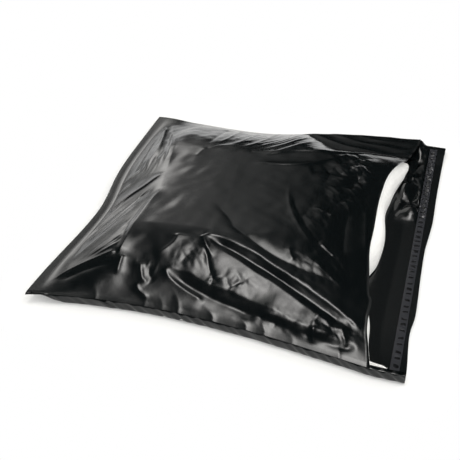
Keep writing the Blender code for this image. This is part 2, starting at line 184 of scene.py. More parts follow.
def crease(x, y, height, left, right, points, fade=(0.18, 0.18), crest=1.5):
    """Height in metres of one fold. Sizes are in millimetres and points in centimetres.

    It falls off over left and right of its line, is rounded over crest, and fades out over a share
    of its length at each end.
    """
    route = smooth_route(points, 5) * CM
    reach = 4.0 * max(left, right) * MM
    low, high = route.min(axis=0) - reach, route.max(axis=0) + reach
    inside = (x > low[0]) & (x < high[0]) & (y > low[1]) & (y < high[1])
    out = np.zeros(x.shape)
    px, py = x[inside][:, None], y[inside][:, None]
    start, step = route[:-1], np.diff(route, axis=0)
    length = np.hypot(step[:, 0], step[:, 1])
    t = np.clip(((px - start[:, 0]) * step[:, 0] + (py - start[:, 1]) * step[:, 1]) / length**2, 0.0, 1.0)
    ox = px - start[:, 0] - t * step[:, 0]
    oy = py - start[:, 1] - t * step[:, 1]
    away = np.hypot(ox, oy)
    k = np.argmin(away, axis=1)[:, None]
    d = np.take_along_axis(away, k, 1)[:, 0]
    side = np.take_along_axis(step[:, 0] * oy - step[:, 1] * ox, k, 1)[:, 0]
    gone = np.take_along_axis(np.cumsum(length) - length + t * length, k, 1)[:, 0] / length.sum()
    width = np.where(side > 0.0, left, right) * MM
    ends = ease(gone / fade[0]) * ease((1.0 - gone) / fade[1])
    soft = crest * MM
    out[inside] = height * MM * ends * np.exp(-(np.sqrt(d**2 + soft**2) - soft) / width)
    return out


# Height, width left and right of the line in millimetres, and the line's points in centimetres. Then the
# share over which each end fades, and the rounding of the crest in millimetres.
FOLDS = (
    # Flank beside the closed end
    (3.0, 3, 9, ((-23.2, 21.9), (-21.3, 15.9), (-19.7, 9.1), (-19.6, 5.1), (-19.2, 2.0)), (0.25, 0.3), 0.8),
    (-2.6, 6, 4, ((-20.4, 16.6), (-19.2, 12.7), (-18.4, 8.1), (-18.6, 4.5)), (0.3, 0.3), 1.5),
    (2.0, 10, 4, ((-22.0, 22.0), (-18.6, 12.7), (-16.6, 6.3), (-15.6, 1.5)), (0.25, 0.2), 0.8),
    (2.8, 4, 9, ((-15.1, 0.4), (-17.1, -2.5), (-19.3, -4.3), (-21.6, -7.2), (-22.5, -9.8),
     (-23.2, -13.5), (-23.7, -18.3), (-24.2, -22.8)), (0.1, 0.15), 0.8),
    (-1.9, 8, 4, ((-15.0, -2.9), (-16.8, -5.2), (-19.2, -7.7), (-20.8, -10.7), (-21.8, -12.9),
     (-22.5, -17.1), (-23.3, -21.5)), (0.15, 0.2), 1.2),
    (3.0, 10, 3.5, ((-14.0, -3.6), (-14.1, -4.8), (-14.7, -8.3), (-14.9, -12.2), (-14.9, -15.1),
     (-15.0, -17.7), (-15.0, -19.3)), (0.2, 0.1), 0.8),
    (-1.7, 4, 10, ((-14.9, -5.9), (-15.5, -9.4), (-15.8, -12.6), (-15.7, -15.5), (-15.9, -18.0)),
     (0.2, 0.15), 1.2),
    (2.2, 3, 9, ((-15.2, -18.3), (-17.8, -19.7), (-20.3, -21.2), (-22.7, -23.5), (-24.2, -25.4)),
     (0.08, 0.1), 0.8),
    (-1.5, 9, 4, ((-15.0, -20.1), (-17.4, -20.8), (-19.8, -22.2), (-22.0, -24.1)), (0.15, 0.2), 1.2),
    (1.8, 4, 4, ((-14.4, -18.8), (-14.3, -20.0), (-14.1, -21.8)), (0.1, 0.3), 0.8),
    (1.0, 3, 3, ((-20.5, 3.3), (-22.1, 1.3), (-23.3, 0.4)), (0.2, 0.2), 0.8),
    (1.0, 3, 3, ((-20.6, -0.2), (-22.3, -2.6), (-23.5, -4.7)), (0.2, 0.2), 0.8),
    (0.8, 3, 3, ((-24.2, 21.2), (-24.5, 18), (-24.7, 13.5), (-24.5, 9)), (0.2, 0.2), 0.8),
    # Near flank
    (2.0, 14, 3, ((-4.6, -13.7), (-2.2, -13.7), (0.5, -14.3), (3.2, -15.0), (5.4, -16.0), (9.9, -17.9),
     (14.3, -19.9), (17.4, -21.5), (19.3, -22.6)), (0.05, 0.1), 0.8),
    (-3.6, 6, 6, ((-4.2, -14.2), (-2, -14.6), (0.8, -15.4), (3.5, -16.4), (5.8, -17.2), (10.2, -19.2),
     (14.6, -21.2), (17.6, -22.9)), (0.12, 0.15), 1.5),
    (0.6, 2.5, 4, ((-4.4, -13.9), (-3.1, -14.6), (-1.7, -15.4), (1.1, -16.5), (3.9, -17.7), (6.1, -18.5),
     (10.5, -20.5), (14.8, -22.6), (17.7, -24.3), (19.8, -25.2)), (0.05, 0.1), 0.7),
    (1.6, 4, 2.5, ((-4.6, -13.8), (-3.8, -15.1), (-2.8, -16.3), (-2.0, -17.1)), (0.05, 0.3), 0.7),
    (-1.5, 3, 4, ((-3.9, -15.4), (-3.0, -16.8), (-2.4, -18.0), (-1.6, -19.4)), (0.3, 0.15), 0.7),
    (1.8, 12, 4, ((-7.9, -14.1), (-7.9, -15.1), (-8.4, -16.3), (-9.4, -17.5), (-10.3, -18.3)),
     (0.08, 0.3), 0.8),
    (0.8, 9, 3, ((-8.1, -18.9), (-6.9, -19.4), (-4.7, -19.5), (-2.7, -20.2), (-0.7, -20.6), (1.5, -20.9),
     (5.0, -21.7), (7.1, -22.2), (9.9, -23.0), (11.7, -23.6)), (0.1, 0.2), 0.8),
    (-3.4, 7, 10, ((-7.6, -19.7), (-5.3, -20.6), (-2.5, -21.5), (0.7, -22.3), (3.3, -22.8), (6.3, -23.4),
     (9.5, -24.1), (12, -24.8)), (0.15, 0.25), 1.8),
    (1.5, 3, 5, ((-8.2, -19.3), (-7.4, -20.3), (-6.7, -20.8), (-4.9, -21.6), (-3.2, -22.2),
     (-1.5, -22.7)), (0.1, 0.15), 0.8),
    (1.3, 3, 6, ((-11.5, -19.2), (-11.4, -19.8), (-11.0, -20.6), (-10.6, -21.3), (-9.5, -22.0)),
     (0.15, 0.2), 0.8),
    (-1.3, 6, 4, ((-10.4, -19.4), (-9.9, -20.6), (-8.8, -21.6)), (0.3, 0.3), 1.2),
    (1.2, 2.5, 4, ((-11.2, -22.0), (-10.6, -22.9), (-9.5, -23.5), (-8.8, -24.0)), (0.2, 0.2), 0.7),
    (-0.8, 3, 3, ((0.2, -19.2), (1.2, -20.3), (2.2, -19.6), (3.4, -19.0)), (0.2, 0.3), 0.7),
    (0.6, 3, 3, ((1.2, -21.0), (1.5, -20.4), (2.6, -19.7)), (0.2, 0.3), 0.7),
    # A small pucker on the near flank, with creases that run out of it
    (-0.7, 2, 2, ((-2.4, -19.2), (-1.4, -19.6), (-0.4, -20.1)), (0.3, 0.3), 0.6),
    (-0.7, 2, 2, ((-1.6, -18.4), (-1.4, -19.6), (-1.3, -20.8)), (0.3, 0.3), 0.6),
    (0.6, 2, 2, ((-2.2, -20.3), (-1.4, -19.7), (0.0, -19.0)), (0.3, 0.3), 0.6),
    # Beside the near weld, towards the mouth
    (2.2, 12, 14, ((13.6, -21.2), (12.9, -22.6), (12.9, -24.2), (13.4, -26))),
    (1.6, 3, 3, ((12.8, -23.6), (13.4, -25.6))),
    (1.6, 4, 4, ((16.3, -22.5), (17.4, -25.2))),
    (3.6, 26, 12, ((4.0, -22.2), (7.5, -22.9), (10.5, -23.4), (13.5, -23.9), (17.0, -24.6)), (0.3, 0.2),
     1.5),
    (-2.6, 8, 6, ((11.0, -24.2), (13.5, -24.9), (16.0, -25.2), (18.8, -25.2)), (0.2, 0.2), 1.2),
    # Crown and the side towards the mouth
    (-1.8, 7, 7, ((-5.5, -6), (-2, -9.5), (-1, -11), (0.8, -12.2), (2.6, -13.3), (5, -14.4),
     (7.1, -15.1), (9.8, -15.8), (12.3, -16.7))),
    (-0.9, 8, 3, ((4.8, -0.7), (6.4, -4.7), (8.8, -8.4), (11.5, -11.3), (13.8, -12.9), (16.4, -15.6)),
     (0.2, 0.1), 0.8),
    (0.9, 8, 3, ((4.0, 1.6), (4.6, -2.0), (5.8, -5.4), (8.2, -9.2), (10.8, -11.8)), (0.3, 0.2), 0.8),
    (1.7, 5, 3, ((10.6, -10.4), (11.9, -11.1), (13.5, -12.4)), (0.2, 0.2), 0.7),
    (1.2, 8, 5, ((9, -13.0), (11.5, -14.4), (14, -16), (16, -17.4)), (0.2, 0.2), 1.0),
    (0.8, 3, 3, ((7, -12.6), (7.6, -13.8), (8.4, -14.8))),
    (1.8, 5, 3, ((8.3, -3.3), (10.3, -3.8), (12.3, -4.4)), (0.3, 0.3), 0.7),
    (-2.2, 8, 8, ((13.4, -2), (13.6, -7), (14.4, -12))),
    (1.6, 6, 6, ((12.4, 0), (13.2, -1), (13.6, -2))),
    (1.4, 7, 4, ((15.6, 1), (16.4, -5), (17.2, -10))),
    # Towards the far weld
    (1.0, 5, 4, ((-5.3, 19.1), (-5.9, 14.2), (-6.7, 11.1), (-8.6, 8.6)), (0.05, 0.3), 0.8),
    (1.2, 5, 4, ((-2.4, 23.3), (-2.9, 15.4), (-4.6, 10.6), (-7.0, 8.4)), (0.05, 0.3), 0.8),
    (1.5, 5, 4, ((3.2, 24.5), (0.6, 15.6), (-2.3, 11.6), (-4.5, 9.2)), (0.05, 0.3), 0.8),
    (1.5, 5, 4, ((5.2, 24.8), (2.7, 15.4), (-0.6, 10.9), (-3.4, 8.8)), (0.05, 0.3), 0.8),
    (2.0, 8, 4, ((7.6, 25.2), (5.0, 16.2), (2.5, 11.6), (0.3, 9.2), (-1.6, 8.0)), (0.05, 0.25), 0.8),
    (1.2, 5, 3, ((-8.6, 20), (-8.8, 14), (-9.8, 9.5)), (0.05, 0.3), 0.8),
    (-1.4, 5, 5, ((-11, 20), (-11, 14), (-11.2, 9)), (0.1, 0.3), 1.5),
    (0.9, 4, 3, ((-10.8, 7.4), (-8.5, 9.2), (-5.7, 9.8)), (0.2, 0.3), 0.8),
    (0.7, 3, 3, ((-11.7, 4.8), (-11.4, 6.5), (-10.9, 7.7)), (0.2, 0.2), 0.8),
    (0.9, 3, 4, ((0, 9.1), (-1.7, 8.6), (-3.9, 8.3))),
    (2.4, 6, 3, ((-2.2, 7.2), (2.0, 9.9), (6.0, 11.2), (10.5, 13.3), (14.3, 16.2), (18.8, 18.2)),
     (0.15, 0.05), 0.8),
    (2.0, 7, 3, ((-3.0, 4.9), (0.3, 5.5), (4.8, 6.8), (8.3, 9.6), (11.3, 12.8)), (0.2, 0.2), 0.8),
    (-2.2, 8, 8, ((9.4, 9.4), (11.6, 11), (13.6, 13))),
    (-1.6, 8, 8, ((6, 5.6), (8.4, 6.6), (10.6, 8))),
    (2.2, 6, 8, ((10.8, 6.2), (12.6, 8.6), (14.5, 10))),
    (-2.4, 7, 7, ((11.8, 3), (13.2, 5.6), (14, 9))),
)


# Folds that run along the flat margin beside the far weld
MARGIN_FOLDS = (
    (1.5, 6, 4, ((2.4, 24.8), (6.0, 22.8), (11.0, 21.2), (17.0, 20.6)), (0.2, 0.3), 0.8),
    (1.2, 5, 3, ((5.0, 25.6), (9.0, 24.0), (14.0, 23.0), (20.0, 22.6)), (0.2, 0.3), 0.8),
    (0.9, 4, 3, ((10.0, 25.6), (14.0, 24.8), (19.5, 24.6)), (0.2, 0.3), 0.8),
    (0.9, 4, 3, ((-4.0, 25.6), (0.5, 24.6), (4.5, 24.0)), (0.2, 0.3), 0.8),
)


def waves(x, y, size, seed):
    """Smooth random waves between about -1 and 1, size apart in metres."""
    count = 24
    rng = np.random.default_rng(seed)
    turn = rng.uniform(0.0, 2.0 * np.pi, count)
    rate = 2.0 * np.pi / (size * rng.uniform(0.7, 1.5, count))
    phase = rng.uniform(0.0, 2.0 * np.pi, count)
    total = np.zeros(x.shape)
    for a, f, p in zip(turn, rate, phase):
        total += np.cos(f * (x * np.cos(a) + y * np.sin(a)) + p)
    return total / np.sqrt(count)


# Foot and top of each fold that starts at the near weld, in centimetres
GATHERS = (
    ((-15.6, -25.4), (-17.2, -23.2)), ((-8.9, -25.2), (-10.2, -22.4)), ((-6.4, -25.2), (-8.2, -22.6)),
    ((-4.2, -25.3), (-6.4, -21.6)), ((0.7, -25.3), (-2.4, -22.6)), ((5.2, -25.6), (2.0, -22.9)),
    ((7.6, -25.8), (3.4, -22.0)), ((11.2, -26.0), (8.8, -24.0)), ((16.8, -26.5), (15.6, -23.8)),
)


def gathers(x, y):
    """Short slanting folds at the near weld: a gentle side on the left, a short steep one on the right."""
    rng = np.random.default_rng(11)
    total = np.zeros(x.shape)
    for (fx, fy), (tx, ty) in GATHERS:
        line = ((fx, fy), (fx + 0.3 * (tx - fx), fy + 0.5 * (ty - fy)), (tx, ty))
        rise, left, right = rng.uniform(0.3, 0.9), rng.uniform(4.0, 9.0), rng.uniform(2.0, 3.4)
        total += crease(x, y, rise, left, right, line, (0.02, 0.8), 0.8)
    return total


def bundle(x, y, first, last, count, height, width, seed):
    """Fine tension lines that run side by side between two lines with as many points each."""
    rng = np.random.default_rng(seed)
    first, last = np.array(first, dtype=float), np.array(last, dtype=float)
    total = np.zeros(x.shape)
    for k in range(count):
        share = (k + rng.uniform(0.2, 0.8)) / count + rng.uniform(-0.05, 0.05, (len(first), 1))
        line = first + share * (last - first)
        start = rng.uniform(0.0, 0.35)
        kept = smooth_route(line, 4)
        kept = kept[int(start * len(kept)) : int(rng.uniform(0.7, 1.0) * len(kept))][::3]
        if len(kept) < 3:
            continue
        rise = height * rng.uniform(0.4, 1.0)
        left, right = width * rng.uniform(0.6, 1.3), width * rng.uniform(0.6, 1.3)
        total += crease(x, y, rise, left, right, kept, (0.3, 0.3), 0.7)
    return total


# Two bounding lines in centimetres, how many lines between them, their height and width in millimetres,
# and a number that starts their random draws
BUNDLES = (
    (
        ((-24.0, 21.5), (-23.8, 16), (-23.6, 9), (-23.0, 2), (-22.6, -4)),
        ((-20.6, 20.4), (-18.0, 13), (-16.0, 6), (-15.2, 0), (-17.6, -4)),
        15, 0.9, 2.4, 31,
    ),
    (
        ((-20.0, -3), (-22.4, -8), (-23.4, -14), (-24.2, -22)),
        ((-15.0, -4), (-16.4, -9), (-19.6, -15), (-24, -23.5)),
        12, 1.0, 2.2, 32,
    ),
    (
        ((-15.6, -8), (-16.6, -13), (-18.6, -18), (-23.6, -24)),
        ((-14.6, -16), (-16, -18), (-19.6, -20.4), (-24, -25)),
        8, 0.8, 2.2, 33,
    ),
    (
        ((-12.6, -18.6), (-12.4, -20), (-12.0, -21.6), (-11.4, -23)),
        ((-8.6, -18.0), (-9.0, -19.4), (-9.0, -20.8), (-8.6, -22)),
        8, 0.35, 1.8, 38,
    ),
    (
        ((-6, 21), (-6.2, 17), (-8, 13), (-11, 10)),
        ((6, 22.5), (5, 17), (2.4, 12.4), (-2.5, 8)),
        18, 0.7, 2.2, 34,
    ),
    (
        ((2, 12.4), (7, 14), (12, 16.4), (17, 18.4)),
        ((0, 7), (6, 9), (11, 12.6), (16, 17)),
        7, 0.4, 2.4, 35,
    ),
    (
        ((3, -14.4), (8, -16.6), (13, -18.6), (18, -20.6)),
        ((2, -16.8), (8, -19.6), (13, -22.2), (18, -24)),
        7, 0.35, 2.2, 36,
    ),
    (
        ((7.6, -10.4), (10, -13), (13, -15), (17, -17.4)),
        ((12.6, -8.6), (14, -11), (15.6, -13.4), (18.2, -17)),
        6, 0.4, 2.4, 37,
    ),
)


# Low corner and size of the area that the facets cover
FACET_CORNER = (-0.26, -0.28)
FACET_AREA = (0.52, 0.56)


def facets(x, y, size, seed):
    """Flat facets with sharp edges, size across, as film keeps them where it was crumpled. From 0 to 1."""
    rng = np.random.default_rng(seed)
    count = (np.array(FACET_AREA) / size).astype(int)
    seeds = rng.uniform(0.1, 0.9, (*(count + 2), 2))
    px, py = (x - FACET_CORNER[0]) / size, (y - FACET_CORNER[1]) / size
    i, j = np.floor(px).astype(int), np.floor(py).astype(int)
    nearest = np.full((2, *x.shape), 9.0)
    for di in (-1, 0, 1):
        for dj in (-1, 0, 1):
            ci, cj = np.clip(i + di, 0, count[0] + 1), np.clip(j + dj, 0, count[1] + 1)
            d = np.hypot(px - i - di - seeds[ci, cj, 0], py - j - dj - seeds[ci, cj, 1])
            nearest = np.sort(np.concatenate((nearest, d[None])), axis=0)[:2]
    return np.clip(nearest[1] - nearest[0], 0.0, 1.0)


# Places where the film was handled: centre and reach in centimetres
HANDLED = (
    (-5.0, -17.2, 3.0, 2.0), (2.0, -19.4, 3.5, 1.6), (11.5, -14.5, 4.5, 3.5), (10.0, 22.0, 7.0, 3.0),
)


def around(x, y, cx, cy, rx, ry):
    """1 at a centre, falling off over a reach. Centre and reach are in centimetres."""
    return np.exp(-(((x / CM - cx) / rx) ** 2) - ((y / CM - cy) / ry) ** 2)


def handled(x, y):
    """How much the film was crumpled at each place, from 0 to 1."""
    out = np.zeros(x.shape)
    for spot in HANDLED:
        out = np.maximum(out, around(x, y, *spot))
    return out


# Places crushed into flat facets: centre and reach in centimetres, height in millimetres and the size of a
# facet in centimetres
CRUMPLES = (
    (13.0, 6.0, 3.6, 6.5, 6.5, 3.8), (15.2, -23.2, 3.4, 2.2, 2.0, 2.4), (7.5, -23.6, 3.5, 1.4, 1.0, 1.8),
    (9.8, -6.0, 3.6, 3.2, 1.8, 2.8),
)


def front_height(x, y):
    """Height of the front panel's outer face."""
    seam = seam_height(x, y)
    fill = filling(x, y)
    folds = sum(crease(x, y, *f) for f in FOLDS)
    # What is packed lies unevenly under the film
    folds = folds + 0.0003 * waves(x, y, 0.060, 3) + 0.00010 * waves(x, y, 0.022, 4)
    folds = folds + sum(bundle(x, y, *b) for b in BUNDLES)
    for cx, cy, rx, ry, height, size in CRUMPLES:
        crushed = facets(x, y, size * CM, 43) + 0.3 * facets(x + y, y, 0.45 * size * CM, 44)
        folds = folds + height * MM * around(x, y, cx, cy, rx, ry) * crushed
    pinched = 0.0010 * facets(x, y, 0.030, 41) + 0.0005 * facets(x + 0.3 * y, y, 0.013, 42)
    folds = folds + handled(x, y) * pinched
    # The cut edge of the mouth curls up a little
    curl = 0.0009 * ease((x - lip(y) + 0.003) / 0.003)
    # The flat margin beside the far weld keeps its own folds and shallow wrinkles
    margin = sum(crease(x, y, *f) for f in MARGIN_FOLDS)
    beside_weld = ease((x - 0.02) / 0.06) * (1.0 - ease((far_edge(x) - y - 0.050) / 0.020))
    margin = margin + beside_weld * 0.0004 * waves(0.5 * x, y, 0.026, 8)
    return seam + (CROWN_HEIGHT - seam) * fill + folds * ease(fill / 0.12) + margin + gathers(x, y) + curl


def plan(rows, columns, start, end):
    """X and Y of a grid whose sides lie on the edges: start and end give X at any Y."""
    s = np.asarray(rows)[:, None]
    t = np.asarray(columns)[None, :]
    x = np.zeros((s.size, t.size))
    for _ in range(8):
        y = near_edge(x) + t * (far_edge(x) - near_edge(x))
        x = start(y) + s * (end(y) - start(y))
    return x, y


def skin(name, points, finish):
    """One smooth sheet of quads over a grid of points, its upper side up."""
    rows, columns = points.shape[:2]
    ids = np.arange(rows * columns).reshape(rows, columns)
    quads = np.stack((ids[:-1, :-1], ids[1:, :-1], ids[1:, 1:], ids[:-1, 1:]), -1).reshape(-1, 4)
    mesh = bpy.data.meshes.new(name)
    placed = points.reshape(-1, 3) - (CENTRE_SHIFT, 0.0, 0.0)
    mesh.from_pydata(placed.tolist(), [], quads.tolist())
    mesh.materials.append(finish)
    mesh.shade_smooth()
    piece = bpy.data.objects.new(name, mesh)
    bpy.context.scene.collection.objects.link(piece)
    return piece


def colour(code):
    """An sRGB hex colour as the linear one that a shader takes."""
    values = np.array([int(code[k : k + 2], 16) for k in (1, 3, 5)]) / 255.0
    linear = np.where(values <= 0.04045, values / 12.92, ((values + 0.055) / 1.055) ** 2.4)
    return (*linear.tolist(), 1.0)


def node(tree, kind, inputs=None, **settings):
    """Adds a node. inputs maps a socket to a value, or to the output that feeds it."""
    made = tree.nodes.new(kind)
    for name, value in settings.items():
        setattr(made, name, value)
    for key, value in (inputs or {}).items():
        if isinstance(value, bpy.types.NodeSocket):
            tree.links.new(value, made.inputs[key])
        else:
            made.inputs[key].default_value = value
    return made


def new_material(name):
    """An empty material and its node tree, with the output node."""
    made = bpy.data.materials.new(name)
    made.use_nodes = True
    made.node_tree.nodes.clear()
    return made, made.node_tree, made.node_tree.nodes.new("ShaderNodeOutputMaterial")


# Black polyethylene film, blown as a tube: a soft gloss that shows lamps as broad streaks. Handling leaves
# shallow wrinkles about 12 mm apart. The film's own haze is finer than 1 mm and too fine to show, so it is
# drawn as 2.5 mm grain.
film, tree, out = new_material("black_polyethylene_film")
place = node(tree, "ShaderNodeTexCoord")
wrinkles = node(
    tree,
    "ShaderNodeTexNoise",
    {"Vector": place.outputs["Object"], "Scale": 1.0 / 0.012, "Detail": 3.0, "Distortion": 0.6},
)
grain = node(
    tree, "ShaderNodeTexNoise", {"Vector": place.outputs["Object"], "Scale": 1.0 / 0.0025, "Detail": 2.0}
)
dents = node(
    tree, "ShaderNodeBump", {"Height": wrinkles.outputs["Fac"], "Strength": 0.15, "Distance": 0.0006}
)
fine = node(
    tree,
    "ShaderNodeBump",
    {"Height": grain.outputs["Fac"], "Strength": 0.12, "Distance": 0.0001, "Normal": dents.outputs["Normal"]},
)
gloss = node(
    tree,
    "ShaderNodeMapRange",
    {"Value": wrinkles.outputs["Fac"], "From Min": 0.3, "From Max": 0.7, "To Min": 0.17, "To Max": 0.23},
)
surface = node(
    tree,
    "ShaderNodeBsdfPrincipled",
    {
        "Base Color": colour("#060a0b"),
        "Roughness": gloss.outputs["Result"],
        "IOR": 1.5,
        "Normal": fine.outputs["Normal"],
    },
)
tree.links.new(surface.outputs["BSDF"], out.inputs["Surface"])

# The outer lines of the grid lie on the cut edges, and the next ones on the inner side of fold and welds
FRONT_ROWS = 300
FRONT_COLUMNS = 318
weld_share = WELD_WIDTH / 0.5
rows = np.concatenate(([0.0], np.linspace(FOLD_WIDTH / 0.44, 1.0, FRONT_ROWS)))
columns = np.concatenate(([0.0], np.linspace(weld_share, 1.0 - weld_share, FRONT_COLUMNS), [1.0]))
x, y = plan(rows, columns, closed_end, lip)
z = front_height(x, y)
z[:, 0] = z[:, 1] - WELD_DROOP
z[:, -1] = z[:, -2] - WELD_DROOP
z[0] = z[1]
front = skin("film_front", np.stack((x, y, z), -1), film)
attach(front, "root")
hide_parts("mailer_film")

# Back panel and flap.
# The same film on the other side of the welds. It lies flat, turns up to the welds in a soft wall, and runs
# on past the mouth as the flap.

BACK_ROWS = 300
BACK_COLUMNS = 150
FILM_THICKNESS = 0.0006     # of the solid panel; the skin lies at its underside
FLAP_RISE = 0.003

# The cut end of the flap: Y and X in centimetres, near weld to far weld
FLAP_END_LINE = (
    (-27.2, 24.85), (-24.8, 24.9), (-20.3, 24.6), (-18.1, 24.6), (-15.5, 24.9), (-12.0, 24.9), (-6.9, 24.8),
    (-1.4, 24.8), (1.5, 25.0), (6.0, 25.3), (12.7, 25.3), (19.5, 25.4), (27.2, 25.6),
)
flap_end = edge_line(FLAP_END_LINE)


def flap_crumple(x, y):
    """The flap's film is crumpled in front of the mouth's far corner, up to its liner."""
    reach = ease((x - 0.192) / 0.010) * ease((0.234 - x) / 0.008)
    reach = reach * ease((y - 0.045) / 0.040) * ease((0.262 - y) / 0.012)
    return reach * (0.0130 * facets(x, 0.8 * y, 0.036, 51) + 0.0012 * facets(x + y, y, 0.014, 52))


def back_height(x, y, near=0.0):
    """Upper face of the back panel. near is the share of the seam's height in the near wall."""
    far = 1.0 - ease((far_edge(x) - WELD_WIDTH - y) / 0.045)
    closed = 1.0 - ease((x - closed_end(y) - FOLD_WIDTH) / 0.050)
    turned_up = 1.0 - (1.0 - near) * (1.0 - far) * (1.0 - closed)
    rise = FLAP_RISE * np.clip((x - flat_mouth(y)) / FLAP_LENGTH, 0.0, 1.0) * ease(across(x, y) / 0.2)
    lying = (rise + flap_crumple(x, y)) * (1.0 - turned_up)
    return FILM_THICKNESS + (seam_height(x, y) - FILM_THICKNESS) * turned_up + lying


# The soft wall below the near weld, from top to foot: how far it bulges out or turns in, in steps of
# 3.5 mm, and the share of the seam's height
WALL_STEP = 0.0035
WALL = (
    (-1.10, 0.86), (-1.16, 0.72), (-1.18, 0.58), (-1.16, 0.44), (-1.08, 0.31), (-0.94, 0.19), (-0.70, 0.09),
    (-0.35, 0.02), (0.3, 0.0), (1.0, 0.0),
)
rows = np.linspace(0.0, 1.0, BACK_ROWS)
columns = np.concatenate(([0.0, weld_share], np.linspace(0.03, 1.0 - weld_share, BACK_COLUMNS), [1.0]))
x, y = plan(rows, columns, closed_end, flap_end)
weld_line = near_edge(x[:, :1]) + WELD_WIDTH
wall_y = weld_line + WALL_STEP * np.array([inward for inward, _ in WALL])
wall_x = np.repeat(x[:, 1:2], len(WALL), axis=1)
near = np.zeros(len(columns) + len(WALL))
near[:2] = 1.0
near[2 : 2 + len(WALL)] = [share for _, share in WALL]
x = np.concatenate((x[:, :2], wall_x, x[:, 2:]), axis=1)
y = np.concatenate((y[:, :2], wall_y, y[:, 2:]), axis=1)
z = back_height(x, y, near)
z[:, 0] = z[:, 1] - WELD_DROOP
z[:, -1] = z[:, -2] - WELD_DROOP
# Slanting pleats in the wall
pleat = 0.0011 * waves(x + 0.018 * near, np.zeros(y.shape), 0.015, 7) * np.sin(np.pi * near)
y = y + pleat
z = np.maximum(z - FILM_THICKNESS, 0.0002)
back = skin("film_back", np.stack((x, y, z), -1), film)
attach(back, "root")
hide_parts("mailer_film")

# Pressure-sensitive adhesive on the flap.
# A strip of hot melt, laid on the flap's film near its end and covered by its liner.

STRIP_LINE = 0.2415         # X of the liner's outer edge at the middle of the flap
STRIP_NEAR = -0.2625
STRIP_FAR = 0.2585
STRIP_SKEW = 0.002


def strip_points(inner, outer, lift, count):
    """A grid across the flap between two distances from its outer strip line."""
    y = np.linspace(STRIP_NEAR, STRIP_FAR, 520)[None, :] * np.ones((count, 1))
    x = STRIP_LINE - np.linspace(inner, outer, count)[:, None] + STRIP_SKEW * y / BAG_WIDTH
    return x, y, back_height(x, y) - FILM_THICKNESS + lift


# Hot-melt adhesive, extruded on to the film: tacky, smooth and dull
adhesive_finish, tree, out = new_material("hot_melt_adhesive")
surface = node(tree, "ShaderNodeBsdfPrincipled", {"Base Color": colour("#5a5954"), "Roughness": 0.45})
tree.links.new(surface.outputs["BSDF"], out.inputs["Surface"])
x, y, z = strip_points(0.010, 0.002, 0.0005, 5)
adhesive = skin("adhesive_strip_skin", np.stack((x, y, z), -1), adhesive_finish)
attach(adhesive, "root")
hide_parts("adhesive_strip")

# Release liner over the adhesive.
# A thin siliconed film that lies on the adhesive, drawn into crosswise wrinkles along its length and crumpled
# at its far end.

LINER_WIDTH = 0.012
LINER_ROWS = 25

# Dark grey film, cast and siliconed on one side: a satin gloss that lightens it at a low angle
liner_finish, tree, out = new_material("siliconed_liner_film")
place = node(tree, "ShaderNodeTexCoord")
at = node(tree, "ShaderNodeSeparateXYZ", {"Vector": place.outputs["Object"]})
uneven = node(
    tree, "ShaderNodeTexNoise", {"Vector": place.outputs["Object"], "Scale": 1.0 / 0.010, "Detail": 2.0}
)
# Short dark dashes in its colour, about 6 mm apart, run crosswise along the middle between two plain edges
shifted = node(
    tree, "ShaderNodeMath", {0: uneven.outputs["Fac"], 1: 0.010, 2: at.outputs["Y"]}, operation="MULTIPLY_ADD"
)
beat = node(tree, "ShaderNodeMath", {0: shifted.outputs[0], 1: 0.006}, operation="PINGPONG")
dash = node(
    tree,
    "ShaderNodeMapRange",
    {"Value": beat.outputs[0], "From Min": 0.0010, "From Max": 0.0022, "To Min": 1.0, "To Max": 0.0},
)
middle = STRIP_LINE - CENTRE_SHIFT - LINER_WIDTH / 2.0
off_middle = node(tree, "ShaderNodeMath", {0: at.outputs["X"], 1: middle}, operation="SUBTRACT")
off_middle = node(tree, "ShaderNodeMath", {0: off_middle.outputs[0]}, operation="ABSOLUTE")
inside = node(
    tree,
    "ShaderNodeMapRange",
    {"Value": off_middle.outputs[0], "From Min": 0.0030, "From Max": 0.0036, "To Min": 1.0, "To Max": 0.0},
)
dark = node(
    tree, "ShaderNodeMath", {0: dash.outputs["Result"], 1: inside.outputs["Result"]}, operation="MULTIPLY"
)
shade = node(
    tree,
    "ShaderNodeMix",
    {"Factor": dark.outputs[0], "A": colour("#2a2b2e"), "B": colour("#060708")},
    data_type="RGBA",
)
surface = node(tree, "ShaderNodeBsdfPrincipled", {"Base Color": shade.outputs["Result"], "Roughness": 0.20})
tree.links.new(surface.outputs["BSDF"], out.inputs["Surface"])
x, y, z = strip_points(LINER_WIDTH, 0.0, 0.0011, LINER_ROWS)
arch = np.sin(np.linspace(0.0, np.pi, LINER_ROWS))[:, None]
crumpled = ease((y - 0.055) / 0.020) * ease((0.262 - y) / 0.02)
crushed = 0.0044 * facets(x, y, 0.011, 22) + 0.0016 * facets(x + y, y, 0.006, 23)
z = z + 0.0004 * np.abs(waves(x * 0.15, y, 0.011, 21)) * arch
z = z + crumpled * crushed * (0.35 + 0.65 * arch)
liner = skin("release_liner_skin", np.stack((x, y, z), -1), liner_finish)
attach(liner, "root")
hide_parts("release_liner")

# What is packed.
# Soft goods in a matt white wrapper, pushed in loose through the mouth. Its rounded end shows past the
# mouth edge.

PACK_START = -0.215
PACK_NEAR = -0.246
PACK_FAR = 0.215
PACK_ROUND = 0.026          # over this length its end rounds down
PACK_SIDE_ROUND = 0.03
UNDER_FRONT = 0.0035
OVER_BACK = 0.0012

